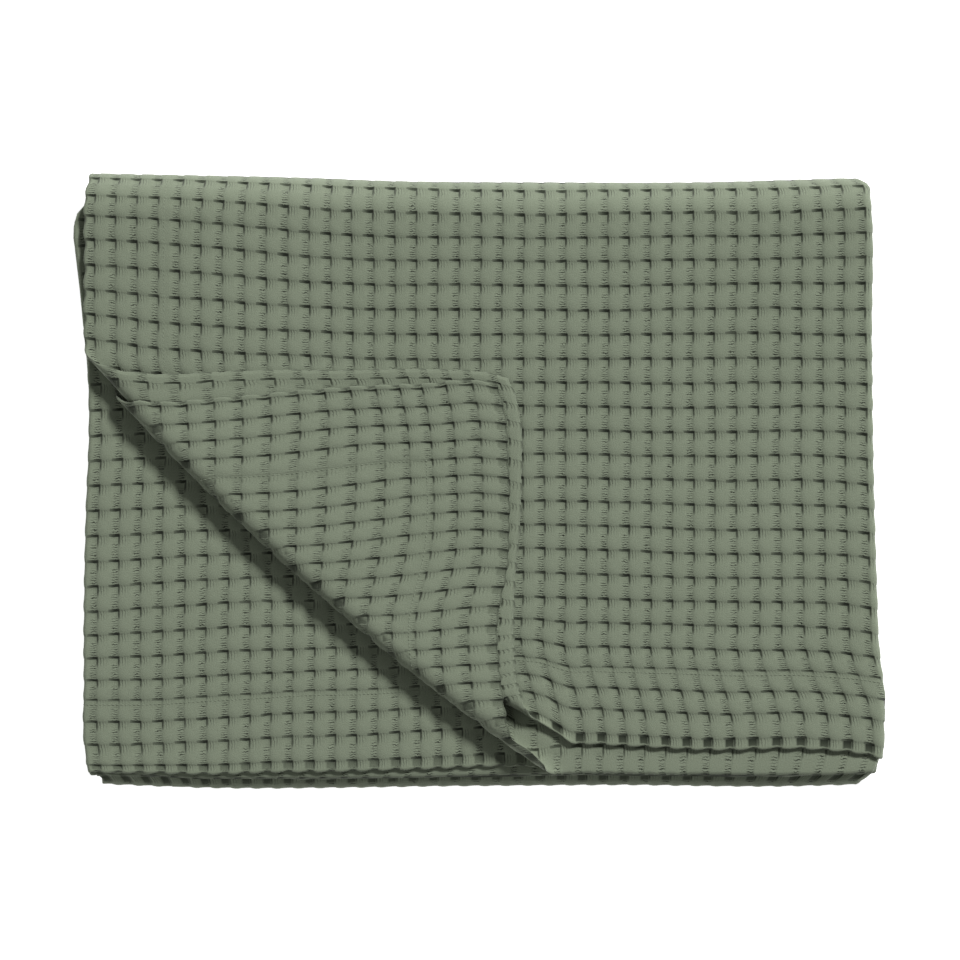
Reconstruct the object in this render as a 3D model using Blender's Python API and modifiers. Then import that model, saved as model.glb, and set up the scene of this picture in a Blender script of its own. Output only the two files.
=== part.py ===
"""A waffle-weave cotton bedspread, folded in four both ways, one corner turned back over the top.

Units are metres and +Z is up. The cloth starts flat: "across" runs along its length, from 0 to LENGTH,
and "down" runs over its width, from 0 to WIDTH. Four folds, each one under the last, stack it in
sixteen layers. The near left corner of the top two layers is then turned back over the top.
"""

import math

import bmesh
import bpy
import numpy as np

# The cloth, laid flat
LENGTH = 2.60
WIDTH = 2.00
SHEET = 0.0022
PITCH = 0.0032  # from the middle of one layer to the middle of the next

# The folds. Each one turns what lies past its line under the layers already there.
# Columns: direction of the run, line, layers already stacked, how far the bend stands out
HALF_LENGTH_FOLD = ("across", LENGTH / 2, 1, 1.0)
QUARTER_LENGTH_FOLD = ("across", LENGTH / 4, 2, 1.15)
HALF_WIDTH_FOLD = ("down", WIDTH / 2 + 0.0045, 4, 1.5)
ROLLED_FOLD = ("down", 0.486, 8, 1.35)
FOLDS = (HALF_LENGTH_FOLD, QUARTER_LENGTH_FOLD, HALF_WIDTH_FOLD, ROLLED_FOLD)
LAYERS = 16

# The middle of the folded stack, seen from above, in the folded cloth's own run
CENTRE_ACROSS = 0.3247
CENTRE_DOWN = 0.2283

# Hems. Columns: place along the hem, how far the hem lies inside its straight line there
NEAR_HEM = (
    (0.00, 0.0050), (0.02, 0.0000), (0.05, -0.0021), (0.10, -0.0002), (0.15, 0.0031),
    (0.20, 0.0072), (0.24, 0.0085), (0.28, 0.0090), (0.32, 0.0105), (0.36, 0.0120),
    (0.40, 0.0105), (0.434, 0.0085), (0.52, 0.0050), (0.60, 0.0044), (0.632, 0.0005),
    (0.65, -0.004), (0.75, -0.010), (1.30, -0.016), (1.37, -0.0145), (1.46, -0.0122),
    (1.53, -0.0118), (1.61, -0.0098), (1.70, -0.0100), (1.95, -0.0155), (2.10, -0.0165),
    (2.19, -0.0160), (2.22, -0.0165), (2.232, -0.0175), (2.24, -0.0137), (2.25, -0.0055),
    (2.26, 0.0027), (2.27, 0.0045), (2.29, 0.0063), (2.31, 0.0079), (2.335, 0.0095),
    (2.37, 0.0100), (2.43, 0.0010), (2.52, -0.0010), (2.57, 0.0000), (2.60, 0.0050),
)
NOSE_HEM = (  # the near hem curls in further where the corner turns, over a shorter reach
    (0.00, 0.0), (0.20, 0.0), (0.24, 0.0007), (0.26, 0.0040), (0.28, 0.0087),
    (0.30, 0.0142), (0.32, 0.0194), (0.34, 0.0222), (0.355, 0.0222), (0.37, 0.0190),
    (0.38, 0.0148), (0.39, 0.0066), (0.40, 0.0), (0.42, 0.0), (2.60, 0.0),
)
FAR_HEM = (
    (0.00, -0.025), (0.40, -0.028), (0.65, -0.026), (1.10, -0.027), (1.80, -0.025), (2.60, -0.028),
)
START_HEM = (
    (0.00, 0.0070), (0.02, 0.0015), (0.05, 0.0005), (0.137, 0.0045), (0.22, 0.0078), (0.28, 0.0100),
    (0.305, 0.0080), (0.318, 0.0030), (0.33, -0.0012), (0.36, -0.0027), (0.40, -0.0032), (0.45, -0.0030),
    (0.47, -0.0005), (0.49, 0.0000), (0.95, 0.0030), (1.50, -0.0020), (2.00, 0.0030),
)
END_HEM = (
    (0.00, 0.0035), (0.02, 0.0010), (0.057, 0.0062), (0.10, 0.0105), (0.15, 0.0163), (0.21, 0.0220),
    (0.266, 0.0265), (0.29, 0.0250), (0.32, 0.0210), (0.36, 0.0120), (0.42, 0.0060), (0.60, 0.0030),
    (1.00, 0.0050), (1.50, 0.0010), (2.00, 0.0040),
)
HEM_REACH_DOWN = 0.42  # how far in from the hem the cloth is drawn along with it
HEM_REACH_ACROSS = 0.30
NOSE_HEM_REACH = 0.12

# Edges of the stack, from above. Columns: place along the edge, how far it stands out from its line
RIGHT_EDGE = (
    (-0.252, -0.004), (-0.247, 0.003), (-0.238, 0.0085), (-0.226, 0.0110), (-0.205, 0.0122),
    (-0.184, 0.0125), (-0.158, 0.0095), (-0.132, 0.0070), (-0.099, 0.0058), (0.00, 0.0029),
    (0.115, 0.0013), (0.225, 0.0005), (0.240, -0.001), (0.246, -0.006),
)
LEFT_EDGE = (
    (-0.252, -0.006), (-0.246, -0.001), (-0.230, 0.0025), (-0.165, 0.0040), (-0.099, 0.0038),
    (-0.018, 0.0020), (0.039, -0.0002), (0.094, 0.0010), (0.120, 0.0033), (0.143, 0.0056),
    (0.173, 0.0088), (0.196, 0.0122), (0.206, 0.0120), (0.214, 0.0080), (0.222, 0.0010), (0.246, -0.001),
)
FAR_EDGE = (
    (-0.32, 0.0097), (-0.14, 0.0058), (-0.08, 0.0036), (0.06, 0.0021), (0.19, 0.0024), (0.31, 0.0056),
)
NEAR_EDGE = (
    (-0.32, -0.0016), (-0.26, 0.0008), (0.00, 0.0000), (0.12, -0.0008), (0.25, 0.0004), (0.32, -0.0012),
)
EDGE_REACH = 0.15
STACK_HALF_DOWN = 0.248
HEM_LOOSENS = 0.09  # past the top bundle, the hems at the left follow the bulge over this much cloth

# Soft rises and hollows of the top
# Columns: place across, place down, radius, rise as a share of the height
SWELLS = (
    (-0.24, 0.19, 0.10, 0.030), (-0.05, 0.17, 0.14, 0.018), (0.19, 0.19, 0.12, 0.026),
    (0.26, 0.02, 0.11, -0.022), (0.10, -0.02, 0.12, 0.016), (0.21, -0.12, 0.10, 0.020),
    (0.27, -0.20, 0.09, -0.030), (0.05, -0.22, 0.10, -0.020), (-0.22, -0.20, 0.12, -0.035),
    (-0.28, -0.05, 0.10, 0.018), (-0.12, 0.02, 0.10, 0.014),
)

# The turned corner. Its crease runs straight from one hem to the other, then bows towards the corner
CREASE_START = (-0.323, 0.0925)
CREASE_END = (0.0505, -0.2390)
CREASE_HEIGHT = 0.0042  # of the bend's axis over the upper layer
CREASE_STAND = 1.6  # how far the bend stands out for its height
CREASE_BOW = 0.0150
CREASE_BOW_REACH = 0.10
TURN_PULL = (0.122, -0.205)  # how the turned cloth is drawn along as it lies further from the crease
TURN_SETTLE = 0.12  # the turned cloth comes down on the top over this much of its run
NOSE_START = 0.76  # from this share of the crease on, the upper layer turns sooner than the second
NOSE_REACH = 0.16
NOSE_INSET = 0.024

# Steps of the mesh
SPANS_ACROSS = (8, 4, 4, 8)
SPANS_DOWN = (10, 4, 4, 4)
BEND_STEPS_ACROSS = (6, 5, 4)
BEND_STEPS_DOWN = (8, 5, 5)
CREASE_STEPS = 5
LEVEL = 0.0001  # points this near the surface beneath lie on it

SAGE = (0.190, 0.222, 0.162, 1.0)


def smooth_row(table, at):
    """Read a two-column table at any place, with a smooth curve through its rows."""
    place, value = np.array(table).T
    slope = np.gradient(value, place)
    at = np.clip(at, place[0], place[-1])
    row = np.clip(np.searchsorted(place, at) - 1, 0, len(place) - 2)
    span = place[row + 1] - place[row]
    t = (at - place[row]) / span
    return (
        value[row] * (1 + 2 * t) * (1 - t) ** 2
        + value[row + 1] * t * t * (3 - 2 * t)
        + span * slope[row] * t * (1 - t) ** 2
        - span * slope[row + 1] * t * t * (1 - t)
    )


def eased(t):
    """Go from 0 to 1 with no sudden start or stop."""
    t = np.clip(t, 0, 1)
    return t * t * (3 - 2 * t)


def bend_half(radius, stand):
    """Half the cloth in a bend, a quarter of an ellipse's way round."""
    return math.pi / 2 * radius * math.sqrt((1 + stand * stand) / 2)


def fold_half(fold):
    return bend_half((fold[2] - 0.5) * PITCH, fold[3])


def crease_axes():
    start = np.array(CREASE_START)
    along = np.array(CREASE_END) - start
    length = np.hypot(*along)
    along = along / length
    return start, along, np.array((-along[1], along[0])), length


def lay_hems(across, down):
    """Shift the flat cloth near its four hems, as uneven as they lie."""
    near = np.clip(1 - down / HEM_REACH_DOWN, 0, 1)
    far = np.clip(1 - (WIDTH - down) / HEM_REACH_DOWN, 0, 1)
    start = np.clip(1 - across / HEM_REACH_ACROSS, 0, 1)
    end = np.clip(1 - (LENGTH - across) / HEM_REACH_ACROSS, 0, 1)
    laid_down = down + smooth_row(NEAR_HEM, across) * near - smooth_row(FAR_HEM, across) * far
    laid_down = laid_down + smooth_row(NOSE_HEM, across) * np.clip(1 - down / NOSE_HEM_REACH, 0, 1)
    laid_across = across + smooth_row(START_HEM, down) * start - smooth_row(END_HEM, down) * end
    return laid_across, laid_down


def fold_under(run, height, fold):
    """Bend the cloth past the fold's line round an axis just under the layers, and back beneath them."""
    line, layers, stand = fold[1:]
    axis = -(layers - 0.5) * PITCH
    half = fold_half(fold)
    radius = height - axis
    bent = np.clip(run, line - half, line + half)
    angle = (bent - line) / half * math.pi / 2
    folded_run = line - half + stand * radius * np.cos(angle) - np.abs(run - bent)
    return folded_run, axis - radius * np.sin(angle)


def turn_corner(x, y, z, upper):
    """Turn cloth past the crease up and back over the top, then bow the crease."""
    start, along, back, length = crease_axes()
    outer = CREASE_HEIGHT + PITCH
    place = ((x - start[0]) * along[0] + (y - start[1]) * along[1]) / length
    inset = upper * NOSE_INSET * eased((place - NOSE_START) / NOSE_REACH)
    axis_in = CREASE_STAND * outer + SHEET / 2 + inset
    radius = CREASE_HEIGHT - z
    half = bend_half(radius, CREASE_STAND)
    inside = (x - start[0]) * back[0] + (y - start[1]) * back[1]
    past = axis_in - inside
    bent = np.clip(past, 0, 2 * half)
    angle = (bent / half - 1) * math.pi / 2
    moved = axis_in - CREASE_STAND * radius * np.cos(angle) + np.abs(past - bent) - inside
    beyond = np.maximum(past - 2 * half, 0)
    x = x + moved * back[0] + beyond * TURN_PULL[0]
    y = y + moved * back[1] + beyond * TURN_PULL[1]
    drop = 2 * CREASE_HEIGHT - PITCH
    z = CREASE_HEIGHT + radius * np.sin(angle) - drop * eased(beyond / TURN_SETTLE)
    run = ((x - start[0]) * along[0] + (y - start[1]) * along[1]) / (length / 2) - 1
    away = np.abs((x - start[0]) * back[0] + (y - start[1]) * back[1] - axis_in)
    bow = CREASE_BOW * np.clip(1 - run * run, 0, 1) * eased(1 - away / CREASE_BOW_REACH)
    return x - bow * back[0], y - bow * back[1], z


def settle_edges(x, y, loose):
    """Draw the stack's four edges out or in, as its folds bulge, the left one by the loose share."""
    right = eased((x - LENGTH / 8 + EDGE_REACH) / EDGE_REACH)
    left = eased((-x - LENGTH / 8 + EDGE_REACH) / EDGE_REACH)
    far = eased((y - STACK_HALF_DOWN + EDGE_REACH) / EDGE_REACH)
    near = eased((-y - STACK_HALF_DOWN + EDGE_REACH) / EDGE_REACH)
    moved_x = x + right * smooth_row(RIGHT_EDGE, y) - left * loose * smooth_row(LEFT_EDGE, y)
    moved_y = y + far * smooth_row(FAR_EDGE, x) - near * smooth_row(NEAR_EDGE, x)
    return moved_x, moved_y


def swell_top(x, y, z):
    """Scale the heights over the surface beneath: the top is uneven and the underside flat."""
    share = np.ones_like(z)
    for place_x, place_y, radius, rise in SWELLS:
        share = share + rise * np.exp(-((x - place_x) ** 2 + (y - place_y) ** 2) / radius**2)
    return z * share


def fold_cloth(across, down):
    """Take points of the laid cloth to their places in the folded stack."""
    x, y, z = across.copy(), down.copy(), np.zeros_like(across)
    for fold in FOLDS:
        if fold[0] == "across":
            x, z = fold_under(x, z, fold)
        else:
            y, z = fold_under(y, z, fold)
    x, y = x - CENTRE_ACROSS, y - CENTRE_DOWN
    top_fold = ROLLED_FOLD[1] - fold_half(ROLLED_FOLD)
    side_fold = fold_half(QUARTER_LENGTH_FOLD)
    upper = across < QUARTER_LENGTH_FOLD[1] - side_fold
    second = across > LENGTH - QUARTER_LENGTH_FOLD[1] + side_fold
    turning = (down < top_fold) & (upper | second)
    turned = turn_corner(x[turning], y[turning], z[turning], upper[turning])
    x[turning], y[turning], z[turning] = turned
    loose = np.where(upper | second, eased((down - top_fold) / HEM_LOOSENS), 1.0)
    x, y = settle_edges(x, y, loose)
    z = swell_top(x, y, z + (LAYERS - 1) * PITCH) + SHEET / 2
    return x, y, z


def spaced_lines(end, spans, bends):
    """Places of the grid lines: even spans on the flat, and closer ones in each bend."""
    lines = [0.0]
    for count, (line, half, steps) in zip(spans, bends):
        start = lines[-1]
        lines += [start + (line - half - start) * i / count for i in range(1, count + 1)]
        lines += [line - half + 2 * half * i / steps for i in range(1, steps + 1)]
    start = lines[-1]
    lines += [start + (end - start) * i / spans[-1] for i in range(1, spans[-1] + 1)]
    return lines


def flat_grid(mesh):
    """A flat grid over the whole cloth, its lines closer where it will bend."""
    half_length, quarter_length = fold_half(HALF_LENGTH_FOLD), fold_half(QUARTER_LENGTH_FOLD)
    half_width, rolled = fold_half(HALF_WIDTH_FOLD), fold_half(ROLLED_FOLD)
    across_bends = (
        (LENGTH / 4, quarter_length, BEND_STEPS_ACROSS[0]),
        (LENGTH / 2, half_length, BEND_STEPS_ACROSS[1]),
        (LENGTH * 3 / 4, quarter_length, BEND_STEPS_ACROSS[2]),
    )
    down_bends = (
        (ROLLED_FOLD[1], rolled, BEND_STEPS_DOWN[0]),
        (HALF_WIDTH_FOLD[1], half_width, BEND_STEPS_DOWN[1]),
        (2 * HALF_WIDTH_FOLD[1] - ROLLED_FOLD[1], rolled, BEND_STEPS_DOWN[2]),
    )
    across = spaced_lines(LENGTH, SPANS_ACROSS, across_bends)
    down = spaced_lines(WIDTH, SPANS_DOWN, down_bends)
    columns, rows = len(across) - 1, len(down) - 1
    bmesh.ops.create_grid(mesh, x_segments=columns, y_segments=rows, size=0.5)
    for vertex in mesh.verts:
        column = round((vertex.co.x + 0.5) * columns)
        row = round((vertex.co.y + 0.5) * rows)
        vertex.co = (across[column], down[row], 0)


def cut_crease_lines(mesh):
    """Cut the flat grid along the lines where the two top layers will bend."""
    start, _, back, _ = crease_axes()
    axis_in = CREASE_STAND * (CREASE_HEIGHT + PITCH) + SHEET / 2
    for layer, mirrored in ((0, False), (1, True)):
        cloth = 2 * bend_half(CREASE_HEIGHT + layer * PITCH, CREASE_STAND)
        for step in range(CREASE_STEPS + 1):
            place = start + back * (axis_in - cloth * step / CREASE_STEPS)
            across = place[0] + CENTRE_ACROSS
            down = place[1] + CENTRE_DOWN
            bmesh.ops.bisect_plane(
                mesh,
                geom=mesh.verts[:] + mesh.edges[:] + mesh.faces[:],
                dist=0.0004,
                plane_co=(LENGTH - across if mirrored else across, down, 0),
                plane_no=(-back[0] if mirrored else back[0], back[1], 0),
            )


def cotton():
    """Soft sage cotton."""
    material = bpy.data.materials.new("sage_cotton")
    material.use_nodes = True
    surface = material.node_tree.nodes["Principled BSDF"]
    surface.inputs["Base Color"].default_value = SAGE
    surface.inputs["Roughness"].default_value = 0.95
    surface.inputs["Metallic"].default_value = 0.0
    return material


def bedspread(collection):
    """The whole cloth in one piece: gridded flat, creased, folded, then given its thickness."""
    grid = bmesh.new()
    flat_grid(grid)
    laid = lay_hems(*np.array([vertex.co[:2] for vertex in grid.verts]).T)
    for vertex, across, down in zip(grid.verts, *laid):
        vertex.co = (across, down, 0)
    cut_crease_lines(grid)
    folded = fold_cloth(*np.array([vertex.co[:2] for vertex in grid.verts]).T)
    for vertex, *place in zip(grid.verts, *folded):
        vertex.co = place
    bmesh.ops.triangulate(grid, faces=[face for face in grid.faces if len(face.verts) > 4])
    mesh = bpy.data.meshes.new("bedspread")
    grid.to_mesh(mesh)
    grid.free()
    mesh.materials.append(cotton())
    cloth = bpy.data.objects.new("bedspread", mesh)
    collection.objects.link(cloth)
    thickness = cloth.modifiers.new("sheet", "SOLIDIFY")
    thickness.thickness = SHEET
    thickness.offset = 0.0
    thickness.use_even_offset = True
    graph = bpy.context.evaluated_depsgraph_get()
    cloth.data = bpy.data.meshes.new_from_object(cloth.evaluated_get(graph))
    cloth.modifiers.clear()
    for vertex in cloth.data.vertices:
        if abs(vertex.co.z) < LEVEL:
            vertex.co.z = 0.0
    return cloth


def main():
    for leftover in list(bpy.data.objects):
        bpy.data.objects.remove(leftover, do_unlink=True)
    collection = bpy.data.collections.new("folded_bedspread")
    bpy.context.scene.collection.children.link(collection)
    bedspread(collection)


main()
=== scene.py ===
"""The look of a folded waffle-weave bedspread.

The cloth is pressed flat in fine relief, in panels, and folded into its stack with its hem
stitches. A plain studio stands round it.
"""

import math

import bmesh
import bpy
import numpy as np
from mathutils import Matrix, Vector


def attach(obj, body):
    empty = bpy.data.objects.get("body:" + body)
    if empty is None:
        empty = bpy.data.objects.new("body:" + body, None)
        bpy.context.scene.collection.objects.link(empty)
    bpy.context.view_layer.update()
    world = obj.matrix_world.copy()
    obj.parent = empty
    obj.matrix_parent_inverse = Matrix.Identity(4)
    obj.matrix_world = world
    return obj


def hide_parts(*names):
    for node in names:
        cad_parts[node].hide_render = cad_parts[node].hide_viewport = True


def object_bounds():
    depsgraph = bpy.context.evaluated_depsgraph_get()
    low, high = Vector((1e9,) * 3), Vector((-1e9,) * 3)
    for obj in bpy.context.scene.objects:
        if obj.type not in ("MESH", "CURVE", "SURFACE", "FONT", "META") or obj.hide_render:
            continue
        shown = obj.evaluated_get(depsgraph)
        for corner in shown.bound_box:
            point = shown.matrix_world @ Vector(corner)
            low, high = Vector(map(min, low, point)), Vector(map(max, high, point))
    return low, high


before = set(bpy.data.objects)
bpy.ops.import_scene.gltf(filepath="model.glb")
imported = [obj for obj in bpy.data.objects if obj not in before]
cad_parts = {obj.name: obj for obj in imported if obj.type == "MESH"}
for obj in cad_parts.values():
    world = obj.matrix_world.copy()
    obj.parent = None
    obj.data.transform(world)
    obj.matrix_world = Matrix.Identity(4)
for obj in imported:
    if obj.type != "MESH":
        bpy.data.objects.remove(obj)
CAD_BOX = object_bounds()

# The cloth, laid flat, in metres. "Across" runs along its length and "down" over its width
LENGTH = 2.60
WIDTH = 2.00
SHEET = 0.0022
PITCH = 0.0032  # from the middle of one layer to the middle of the next

# The folds. Each one turns what lies past its line under the layers already there.
# Columns: direction of the run, line, layers already stacked, how far the bend stands out
HALF_LENGTH_FOLD = ("across", LENGTH / 2, 1, 1.0)
QUARTER_LENGTH_FOLD = ("across", LENGTH / 4, 2, 1.15)
HALF_WIDTH_FOLD = ("down", WIDTH / 2 + 0.0045, 4, 1.5)
ROLLED_FOLD = ("down", 0.486, 8, 1.35)
FOLDS = (HALF_LENGTH_FOLD, QUARTER_LENGTH_FOLD, HALF_WIDTH_FOLD, ROLLED_FOLD)
LAYERS = 16

# The middle of the folded stack, seen from above, in the folded cloth's own run
CENTRE_ACROSS = 0.3247
CENTRE_DOWN = 0.2283

# Hems. Columns: place along the hem, how far the hem lies inside its straight line there
NEAR_HEM = (
    (0.00, 0.0050), (0.02, 0.0000), (0.05, -0.0021), (0.10, -0.0002), (0.15, 0.0031),
    (0.20, 0.0072), (0.24, 0.0085), (0.28, 0.0090), (0.32, 0.0105), (0.36, 0.0120),
    (0.40, 0.0105), (0.434, 0.0085), (0.52, 0.0050), (0.60, 0.0044), (0.632, 0.0005),
    (0.65, -0.004), (0.75, -0.010), (1.30, -0.016), (1.37, -0.0145), (1.46, -0.0122),
    (1.53, -0.0118), (1.61, -0.0098), (1.70, -0.0100), (1.95, -0.0155), (2.10, -0.0165),
    (2.19, -0.0160), (2.22, -0.0165), (2.232, -0.0175), (2.24, -0.0137), (2.25, -0.0055),
    (2.26, 0.0027), (2.27, 0.0045), (2.29, 0.0063), (2.31, 0.0079), (2.335, 0.0095),
    (2.37, 0.0100), (2.43, 0.0010), (2.52, -0.0010), (2.57, 0.0000), (2.60, 0.0050),
)
NOSE_HEM = (  # the near hem curls in further where the corner turns, over a shorter reach
    (0.00, 0.0), (0.20, 0.0), (0.24, 0.0007), (0.26, 0.0040), (0.28, 0.0087),
    (0.30, 0.0142), (0.32, 0.0194), (0.34, 0.0222), (0.355, 0.0222), (0.37, 0.0190),
    (0.38, 0.0148), (0.39, 0.0066), (0.40, 0.0), (0.42, 0.0), (2.60, 0.0),
)
FAR_HEM = (
    (0.00, -0.025), (0.40, -0.028), (0.65, -0.026), (1.10, -0.027), (1.80, -0.025),
    (2.60, -0.028),
)
START_HEM = (
    (0.00, 0.0070), (0.02, 0.0015), (0.05, 0.0005), (0.137, 0.0045), (0.22, 0.0078),
    (0.28, 0.0100), (0.305, 0.0080), (0.318, 0.0030), (0.33, -0.0012), (0.36, -0.0027),
    (0.40, -0.0032), (0.45, -0.0030), (0.47, -0.0005), (0.49, 0.0000), (0.95, 0.0030),
    (1.50, -0.0020), (2.00, 0.0030),
)
END_HEM = (
    (0.00, 0.0035), (0.02, 0.0010), (0.057, 0.0062), (0.10, 0.0105), (0.15, 0.0163),
    (0.21, 0.0220), (0.266, 0.0265), (0.29, 0.0250), (0.32, 0.0210), (0.36, 0.0120),
    (0.42, 0.0060), (0.60, 0.0030), (1.00, 0.0050), (1.50, 0.0010), (2.00, 0.0040),
)
HEM_REACH_DOWN = 0.42  # how far in from the hem the cloth is drawn along with it
HEM_REACH_ACROSS = 0.30
NOSE_HEM_REACH = 0.12

# Edges of the stack, from above. Columns: place along the edge, how far it stands out from its line
RIGHT_EDGE = (
    (-0.252, -0.004), (-0.247, 0.003), (-0.238, 0.0085), (-0.226, 0.0110), (-0.205, 0.0122),
    (-0.184, 0.0125), (-0.158, 0.0095), (-0.132, 0.0070), (-0.099, 0.0058), (0.00, 0.0029),
    (0.115, 0.0013), (0.225, 0.0005), (0.240, -0.001), (0.246, -0.006),
)
LEFT_EDGE = (
    (-0.252, -0.006), (-0.246, -0.001), (-0.230, 0.0025), (-0.165, 0.0040), (-0.099, 0.0038),
    (-0.018, 0.0020), (0.039, -0.0002), (0.094, 0.0010), (0.120, 0.0033), (0.143, 0.0056),
    (0.173, 0.0088), (0.196, 0.0122), (0.206, 0.0120), (0.214, 0.0080), (0.222, 0.0010),
    (0.246, -0.001),
)
FAR_EDGE = (
    (-0.32, 0.0097), (-0.14, 0.0058), (-0.08, 0.0036), (0.06, 0.0021), (0.19, 0.0024),
    (0.31, 0.0056),
)
NEAR_EDGE = (
    (-0.32, -0.0016), (-0.26, 0.0008), (0.00, 0.0000), (0.12, -0.0008), (0.25, 0.0004),
    (0.32, -0.0012),
)
EDGE_REACH = 0.15
STACK_HALF_DOWN = 0.248
NEXT_TO = 0.0002  # as far as the cloth is followed to find the way it faces
HEM_LOOSENS = 0.09  # past the top bundle, the left hems follow the bulge over this much cloth

# Soft rises and hollows of the top
# Columns: place across, place down, radius, rise as a share of the height
SWELLS = (
    (-0.24, 0.19, 0.10, 0.030), (-0.05, 0.17, 0.14, 0.018), (0.19, 0.19, 0.12, 0.026),
    (0.26, 0.02, 0.11, -0.022), (0.10, -0.02, 0.12, 0.016), (0.21, -0.12, 0.10, 0.020),
    (0.27, -0.20, 0.09, -0.030), (0.05, -0.22, 0.10, -0.020), (-0.22, -0.20, 0.12, -0.035),
    (-0.28, -0.05, 0.10, 0.018), (-0.12, 0.02, 0.10, 0.014),
)

# The turned corner. Its crease runs straight from one hem to the other, then bows to the corner
CREASE_START = (-0.323, 0.0925)
CREASE_END = (0.0505, -0.2390)
CREASE_HEIGHT = 0.0042  # of the bend's axis over the upper layer
CREASE_STAND = 1.6  # how far the bend stands out for its height
CREASE_BOW = 0.0150
CREASE_BOW_REACH = 0.10
TURN_PULL = (0.122, -0.205)  # how the turned cloth is drawn as it lies further from the crease
TURN_SETTLE = 0.12  # the turned cloth comes down on the top over this much of its run
NOSE_START = 0.76  # from this share of the crease on, the upper layer turns sooner than the second
NOSE_REACH = 0.16
NOSE_INSET = 0.024

# The waffle weave. A cell holds a sunk square, a ribbed one over it, a ribbed one beside it,
# and a smooth raised one
CELL_ACROSS = 0.0176
CELL_DOWN = 0.02023
PIT = 0.48  # the sunk square's share of the cell, each way
WALL = 0.075  # its walls' share
PIT_DEPTH = 0.0014
RIB_DROP = 0.0003  # the ribbed squares lie this far under the smooth one's edge
PUFF = 0.0006  # the smooth square's rise in its middle
SLOPE = 0.30  # the other two walls' share
UNDER_SHIFT = 0.5  # cells, from the upper side's pits to the underside's
UNDER_SHALLOWER = 0.45  # share of the relief that the underside lacks

# Grid lines of the flat cloth. The cuts are shares of a cell
CELL_CUTS = (0.0, 0.10, 0.22, 0.34, 0.445, 0.52, 0.68, 0.84)
TURNED_CUTS = (0.0, 0.04, 0.15, 0.28, 0.42, 0.60, 0.78, 0.96)
BEND_CUTS = 10
ACROSS_BEND_MARGIN = 1.04  # of a bend's own reach
DOWN_BEND_MARGIN = 1.02
COARSE_SPAN = 0.03
LEAST_SPAN = 0.0004

# The hems
HEM_DEPTH = 0.066
END_HEM_SHARE = 0.87  # of the other hems' depth over the end hem's
HEM_SEAM_WIDTH = 0.0035
SEAM_SPREAD = 1.8  # seam widths over which the seam presses the waffle flat
SEAM_FLATTENS = 0.85
SEAM_GROOVE = 0.0002
RIM = 0.0018  # the hem's edge is rounded over this much cloth
RIM_CUTS = (0.25, 0.6, 1.0)
RIM_LEAST = 0.2  # of the cloth's thickness is left at the edge

# How the weave lies on the cloth
# Columns: place down from the near hem, how far its rows lie past their even places
ROW_SHIFT = (
    (0.0, 0.0), (0.010, -0.0005), (0.030, 0.0003), (0.050, -0.0016), (0.070, -0.0040),
    (0.091, -0.0073), (0.111, -0.0075), (0.33, -0.0055), (0.39, -0.0051), (0.425, -0.0055),
    (0.455, -0.0082), (0.50, -0.0080), (0.60, 0.0), (0.90, 0.0), (0.96, 0.0014),
    (1.04, 0.0014), (1.10, 0.0), (2.0, 0.0),
)
# Columns: place down from the near hem, how far its rows have slid along the hem
ROW_SLIDE = (
    (0.0, 0.0155), (0.010, 0.0150), (0.030, 0.0120), (0.050, 0.0078), (0.070, 0.0034),
    (0.091, 0.0), (0.12, 0.0), (2.0, 0.0),
)
# Rows rise towards the top layer's left hem
# Columns: place across, how far they lie past their even places
ROW_TILT = (
    (0.0, 0.0165), (0.03, 0.0148), (0.089, 0.0099), (0.147, 0.0037), (0.205, 0.0),
    (0.279, -0.0017), (0.361, -0.0024), (0.477, -0.0008), (0.60, 0.0), (2.60, 0.0),
)
# Columns: place down from the near hem, share of that tilt there
TILT_SHARE = (
    (0.0, 0.0), (0.22, 0.0), (0.32, 1.0), (0.35, 0.90), (0.39, 0.75), (0.44, 0.65),
    (0.465, 0.35), (0.50, 0.10), (0.60, 0.0), (2.0, 0.0),
)
# The third layer's rows, which show at the lower left
# Columns: place across, how far they lie past their even places
THIRD_TILT = (
    (1.20, 0.0), (1.30, -0.0085), (1.336, -0.0074), (1.396, -0.0051), (1.453, -0.0035),
    (1.511, -0.0018), (1.57, 0.0), (2.60, 0.0),
)
# Columns: place down from the near hem, how much closer together they lie from the hem to there
THIRD_CLOSER = (
    (0.0, 0.0), (0.08, 0.0), (0.12, -0.0029), (0.177, -0.0050), (0.218, -0.0066),
    (0.30, -0.0099), (0.60, 0.0),
)
# Where these come in or go out. Columns: place, over how much cloth
SLIDE_COMES_IN = (0.05, 0.1)
SLIDE_GOES_OUT = (0.70, 0.06)
THIRD_COMES_IN = (1.25, 0.05)
THIRD_GOES_OUT = (2.0, 0.05)
THIRD_TILT_COMES_IN = (0.0, 0.022)
THIRD_TILT_GOES_OUT = (0.60, 0.3)
SCALLOP = 0.0007  # the hems' edges draw in this far beside each pit
SCALLOP_REACH = 0.012
# Ripples of its rows and columns. Columns: turns a metre across and down, size
RIPPLES = ((5.3, 3.1, 0.0004), (-3.7, 7.9, 0.0003), (11.0, -6.0, 0.0002))
RIPPLE_LAG = 1.9  # of the rows' ripples behind the columns'

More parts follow.
